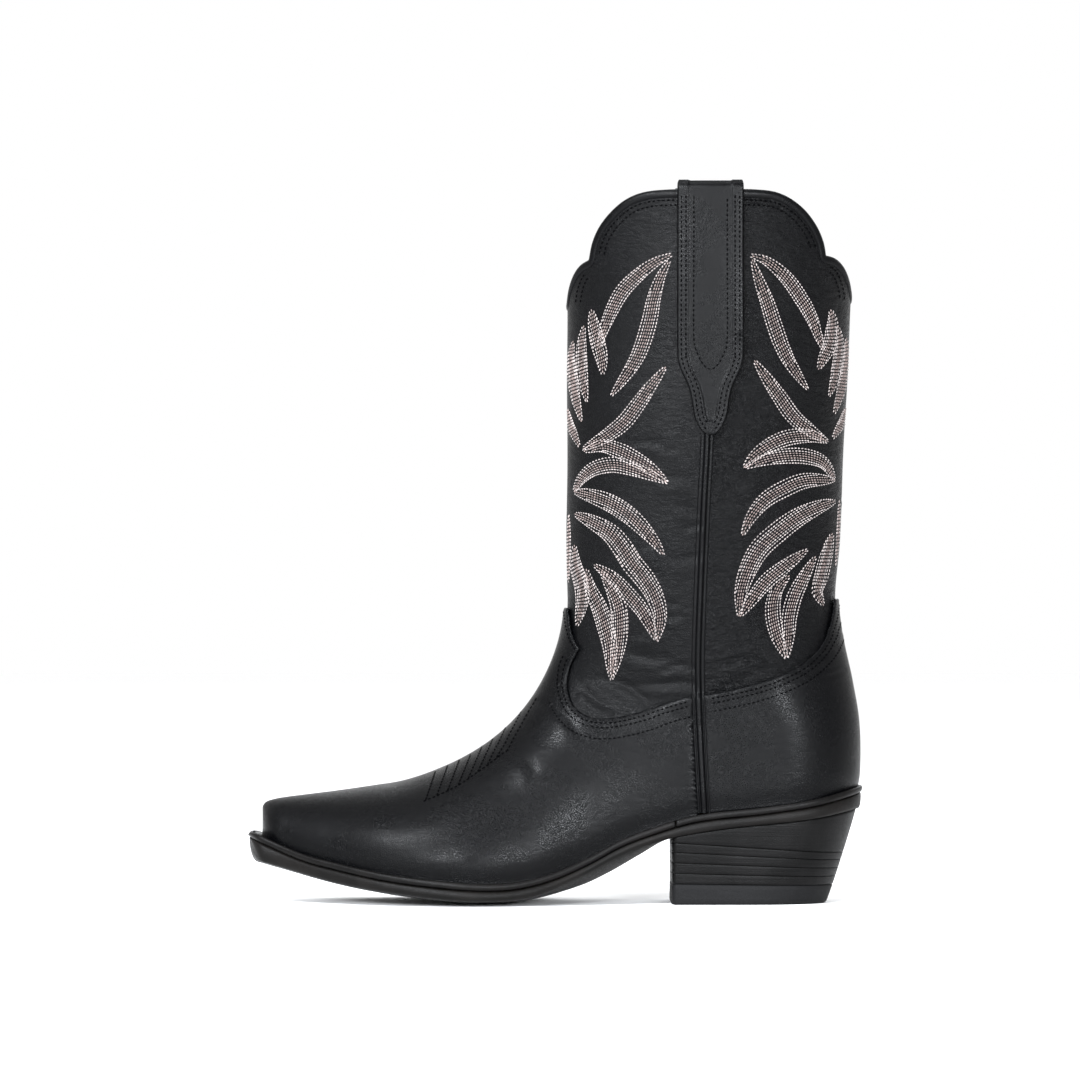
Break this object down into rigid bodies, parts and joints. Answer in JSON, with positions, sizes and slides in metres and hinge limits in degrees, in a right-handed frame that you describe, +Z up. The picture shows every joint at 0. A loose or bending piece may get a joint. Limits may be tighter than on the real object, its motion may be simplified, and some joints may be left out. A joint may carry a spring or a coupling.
{
  "type": "cowboy boot",
  "caption": "Left-foot pull-on western boot with a scalloped shaft, snipped toe, stitched leaf pattern, stacked underslung heel and rubber top lift.",
  "frame": {"origin": "on the ground, under the middle of the boot's box", "axes": "+Z up, -X towards the toe, -Y towards the outer side of this left boot"},
  "size_m": [0.292, 0.1033, 0.341],
  "materials": {
    "upper_leather": "satin black with a cool cast, tumbled grain",
    "trim_leather": "satin black",
    "lining_leather": "matt natural",
    "insole_leather": "matt vegetable tanned",
    "sole_leather": "dyed and burnished edge",
    "stack_leather": "dyed, waxed stacked edge",
    "stiffener": "pressed leather board",
    "cap_rubber": "matt",
    "cork": "matt",
    "shank_steel": "bare spring steel",
    "nail_brass": "bare"
  },
  "bodies": {
    "root": {"vamp": "upper_leather", "heel_counter_cover": "upper_leather", "shaft_front_panel": "upper_leather", "shaft_back_panel": "upper_leather", "toe_box_stiffener": "stiffener", "heel_counter_stiffener": "stiffener", "shaft_lining_front": "lining_leather", "shaft_lining_back": "lining_leather", "vamp_lining": "lining_leather", "heel_lining": "lining_leather", "topline_binding_front": "trim_leather", "topline_binding_back": "trim_leather", "side_welt_lateral": "trim_leather", "side_welt_medial": "trim_leather", "pull_strap_lateral": "trim_leather", "pull_strap_medial": "trim_leather", "insole": "insole_leather", "heel_sock": "lining_leather", "steel_shank": "shank_steel", "cork_filler": "cork", "welt": "sole_leather", "heel_rand": "sole_leather", "outsole": "sole_leather", "heel_wedge_lift": "stack_leather", "heel_lift_4": "stack_leather", "heel_lift_3": "stack_leather", "heel_lift_2": "stack_leather", "heel_lift_1": "stack_leather", "heel_top_lift": "cap_rubber", "heel_nail_1": "nail_brass", "heel_nail_2": "nail_brass", "heel_nail_3": "nail_brass", "heel_nail_4": "nail_brass", "heel_nail_5": "nail_brass"}
  },
  "joints": []
}
